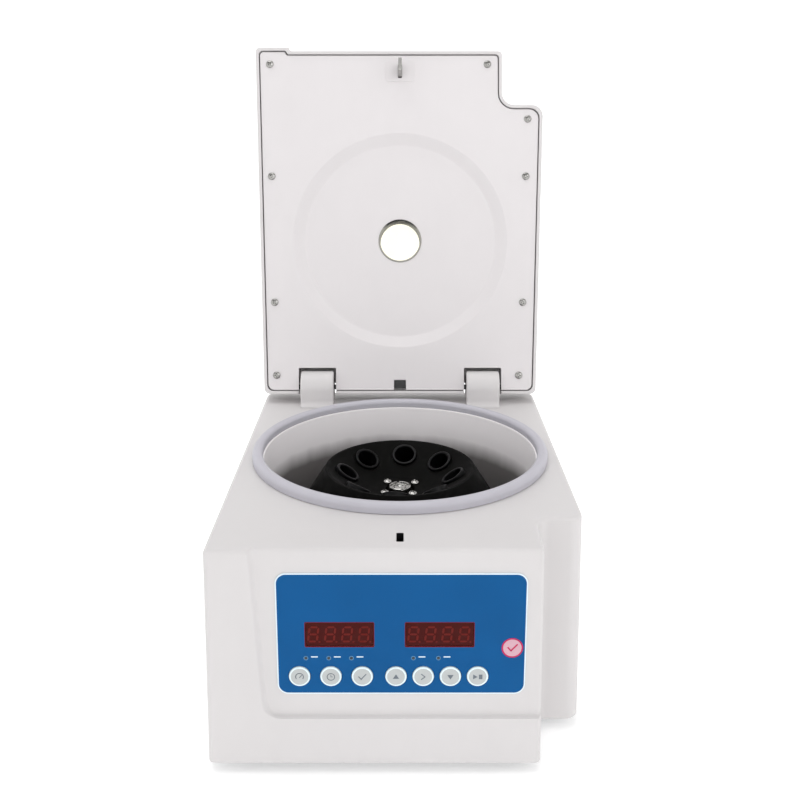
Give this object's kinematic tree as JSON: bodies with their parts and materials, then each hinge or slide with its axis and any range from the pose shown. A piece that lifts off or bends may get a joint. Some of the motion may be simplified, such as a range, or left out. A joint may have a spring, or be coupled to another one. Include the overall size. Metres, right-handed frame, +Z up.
{
  "type": "laboratory centrifuge",
  "caption": "Benchtop centrifuge with a lid hinged open over a gasketed chamber, an angle rotor for tubes, and a control panel with displays and round keys.",
  "frame": {"origin": "bottom centre of the whole object's box with the lid open, on the bench surface", "axes": "+Z up, front control panel towards -Y, +X to the user's right"},
  "size_m": [0.2914, 0.473, 0.5184],
  "materials": {
    "body_white": "satin off-white moulded plastic with a fine even texture",
    "liner_white": "smooth off-white plastic",
    "seal_grey": "pale bluish-grey soft rubber",
    "black_rubber": "dull black rubber",
    "chamber_paint": "satin light grey paint on steel",
    "rotor_black": "matte black anodised",
    "sleeve_black": "semi-matte black plastic",
    "black_plastic": "semi-matte black plastic",
    "sheet_steel": "zinc-plated sheet steel",
    "motor_iron": "grey varnished iron",
    "bright_steel": "bright nickel-plated steel",
    "panel_blue": "satin printed polyester overlay",
    "display_red": "dark red display filter",
    "key_grey": "light grey key cap",
    "board_green": "green solder mask",
    "window_clear": "clear acrylic"
  },
  "bodies": {
    "base": {"housing": "body_white", "base_plate": "sheet_steel", "foot_front_left": "black_rubber", "foot_front_right": "black_rubber", "foot_rear_left": "black_rubber", "foot_rear_right": "black_rubber", "hinge_pin_left": "sheet_steel", "hinge_pin_right": "sheet_steel", "rear_panel": "body_white", "power_inlet": "black_plastic", "switch_bezel": "black_plastic", "fuse_holder": "black_plastic", "transformer": "motor_iron", "power_board": "board_green", "gasket_ring": "seal_grey", "chamber_bowl": "chamber_paint", "guard_ring": "sheet_steel", "shaft_boot": "black_rubber", "motor_damper_1": "black_rubber", "motor_damper_2": "black_rubber", "motor_damper_3": "black_rubber", "motor_plate": "sheet_steel", "motor_body": "motor_iron", "panel_overlay": "panel_blue", "control_board": "board_green", "display_left": "display_red", "display_right": "display_red", "latch_frame": "sheet_steel"},
    "rotor": {"rotor_body": "rotor_black", "drive_shaft": "bright_steel", "hub_nut": "bright_steel", "tube_sleeve_1": "sleeve_black", "tube_sleeve_2": "sleeve_black", "tube_sleeve_3": "sleeve_black", "tube_sleeve_4": "sleeve_black", "tube_sleeve_5": "sleeve_black", "tube_sleeve_6": "sleeve_black", "tube_sleeve_7": "sleeve_black", "tube_sleeve_8": "sleeve_black", "rotor_screw_1": "bright_steel", "rotor_screw_2": "bright_steel", "rotor_screw_3": "bright_steel", "rotor_screw_4": "bright_steel"},
    "lid": {"lid_shell": "body_white", "lid_liner": "liner_white", "lid_window": "window_clear", "lid_striker": "bright_steel", "lid_magnet": "black_plastic"},
    "latch_bolt": {"latch_bolt": "bright_steel"},
    "power_rocker": {"power_rocker": "black_plastic"},
    "key_1": {"key_1": "key_grey"},
    "key_2": {"key_2": "key_grey"},
    "key_3": {"key_3": "key_grey"},
    "key_4": {"key_4": "key_grey"},
    "key_5": {"key_5": "key_grey"},
    "key_6": {"key_6": "key_grey"},
    "key_7": {"key_7": "key_grey"}
  },
  "joints": [
    {"name": "lid_hinge", "type": "hinge", "parent": "base", "child": "lid", "pos_m": [0.00081, 0.11091, 0.1975], "axis": [1, 0, 0], "range_deg": [0, 108.2]},
    {"name": "rotor_spin", "type": "hinge", "parent": "base", "child": "rotor", "pos_m": [0.00081, -0.03449, 0.112], "axis": [0, 0, 1], "continuous": true},
    {"name": "latch_slide", "type": "slide", "parent": "base", "child": "latch_bolt", "axis": [-1, 0, 0], "range_m": [0, 0.01], "stiffness_N_per_m": 150, "springref_m": -0.004},
    {"name": "power_rocker_tilt", "type": "hinge", "parent": "base", "child": "power_rocker", "pos_m": [-0.01919, 0.13431, 0.054], "axis": [1, 0, 0], "range_deg": [0, 10]},
    {"name": "key_1_press", "type": "slide", "parent": "base", "child": "key_1", "axis": [0, 0.9984, -0.0558], "range_m": [0, 0.0006], "stiffness_N_per_m": 400, "springref_m": -0.0015},
    {"name": "key_2_press", "type": "slide", "parent": "base", "child": "key_2", "axis": [0, 0.9984, -0.0558], "range_m": [0, 0.0006], "stiffness_N_per_m": 400, "springref_m": -0.0015},
    {"name": "key_3_press", "type": "slide", "parent": "base", "child": "key_3", "axis": [0, 0.9984, -0.0558], "range_m": [0, 0.0006], "stiffness_N_per_m": 400, "springref_m": -0.0015},
    {"name": "key_4_press", "type": "slide", "parent": "base", "child": "key_4", "axis": [0, 0.9984, -0.0558], "range_m": [0, 0.0006], "stiffness_N_per_m": 400, "springref_m": -0.0015},
    {"name": "key_5_press", "type": "slide", "parent": "base", "child": "key_5", "axis": [0, 0.9984, -0.0558], "range_m": [0, 0.0006], "stiffness_N_per_m": 400, "springref_m": -0.0015},
    {"name": "key_6_press", "type": "slide", "parent": "base", "child": "key_6", "axis": [0, 0.9984, -0.0558], "range_m": [0, 0.0006], "stiffness_N_per_m": 400, "springref_m": -0.0015},
    {"name": "key_7_press", "type": "slide", "parent": "base", "child": "key_7", "axis": [0, 0.9984, -0.0558], "range_m": [0, 0.0006], "stiffness_N_per_m": 400, "springref_m": -0.0015}
  ]
}
